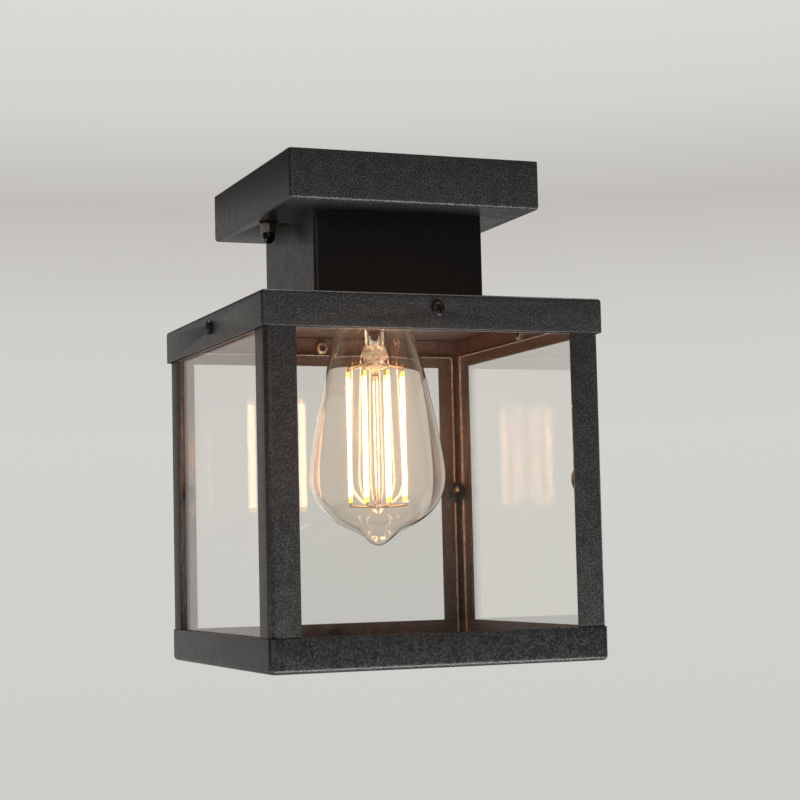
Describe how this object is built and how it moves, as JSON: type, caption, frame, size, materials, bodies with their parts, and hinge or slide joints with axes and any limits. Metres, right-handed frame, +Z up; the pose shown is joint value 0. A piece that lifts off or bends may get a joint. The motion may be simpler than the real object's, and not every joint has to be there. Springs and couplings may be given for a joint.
{
  "type": "porch ceiling lantern",
  "caption": "Square flush-mount porch lantern in textured black steel: canopy, neck, roof tray and an open-bottomed glazed cage round a large filament bulb.",
  "frame": {"origin": "centre of the ceiling plane, between the bracket's two slots", "axes": "+Z up into the ceiling, +X along the line of the two ceiling screws and cap nuts, +Y away from the picture's front pane"},
  "size_m": [0.1642, 0.1642, 0.227],
  "materials": {
    "powder_coat": "fine-texture black powder coat on folded steel",
    "black_zinc": "smooth satin black plating",
    "zinc": "bright zinc plating",
    "nickel": "bright nickel plating",
    "support_wire": "drawn nickel wire",
    "brass": "plain brass",
    "porcelain": "white glazed porcelain",
    "pane_glass": "clear float glass with ground edges",
    "bulb_glass": "clear blown glass, faintly warm",
    "stem_glass": "clear drawn and pressed glass",
    "clip_black": "black moulded plastic",
    "rubber": "black moulded rubber",
    "pad": "dark blue soft pad",
    "block_plastic": "natural moulded plastic",
    "lead_brown": "brown insulation",
    "lead_blue": "blue insulation",
    "lead_green": "green and yellow insulation",
    "insulator": "opaque black glass",
    "solder": "soldered contact",
    "filament": "amber phosphor coating, lit"
  },
  "bodies": {
    "lantern": {"mounting_bracket": "zinc", "hanger_bolts": "zinc", "hanger_nuts": "zinc", "terminal_block": "block_plastic", "terminal_screws": "brass", "block_screws": "zinc", "earth_screw": "brass", "live_lead": "lead_brown", "neutral_lead": "lead_blue", "earth_lead": "lead_green", "canopy": "powder_coat", "cable_grommet": "rubber", "cap_washers": "black_zinc", "cap_nuts": "nickel", "neck": "powder_coat", "holder_screws": "zinc", "holder_washer": "zinc", "lampholder_body": "porcelain", "lampholder_sleeve": "brass", "lampholder_contact": "brass", "roof_tray": "powder_coat", "skirt_screws": "black_zinc", "skirt_nuts": "nickel", "post_back_right": "powder_coat", "post_back_left": "powder_coat", "post_front_left": "powder_coat", "post_front_right": "powder_coat", "top_rail_right": "powder_coat", "top_rail_back": "powder_coat", "top_rail_left": "powder_coat", "top_rail_front": "powder_coat", "bottom_rail_right": "powder_coat", "bottom_rail_back": "powder_coat", "bottom_rail_left": "powder_coat", "bottom_rail_front": "powder_coat", "pane_right": "pane_glass", "pane_back": "pane_glass", "pane_left": "pane_glass", "pane_front": "pane_glass", "clip_studs": "zinc", "pane_clips": "clip_black", "pane_pad": "pad"},
    "bulb_carrier": {"bulb_contact": "solder"},
    "bulb": {"bulb_insulator": "insulator", "bulb_shell": "nickel", "bulb_glass": "bulb_glass", "bulb_stem": "stem_glass", "bulb_lead_wires": "support_wire", "filament_hangers": "support_wire", "filament_star": "support_wire", "filaments": "filament"}
  },
  "joints": [
    {"name": "bulb_sink", "type": "slide", "parent": "lantern", "child": "bulb_carrier", "axis": [0, 0, -1], "range_m": [0, 0.0218]},
    {"name": "bulb_turn", "type": "hinge", "parent": "bulb_carrier", "child": "bulb", "pos_m": [0, 0, -0.045], "axis": [0, 0, -1], "range_deg": [0, 2160]}
  ],
  "couplings": [
    {"joint": "bulb_sink", "follows": "bulb_turn", "m_per_rad": 0.00057757}
  ]
}
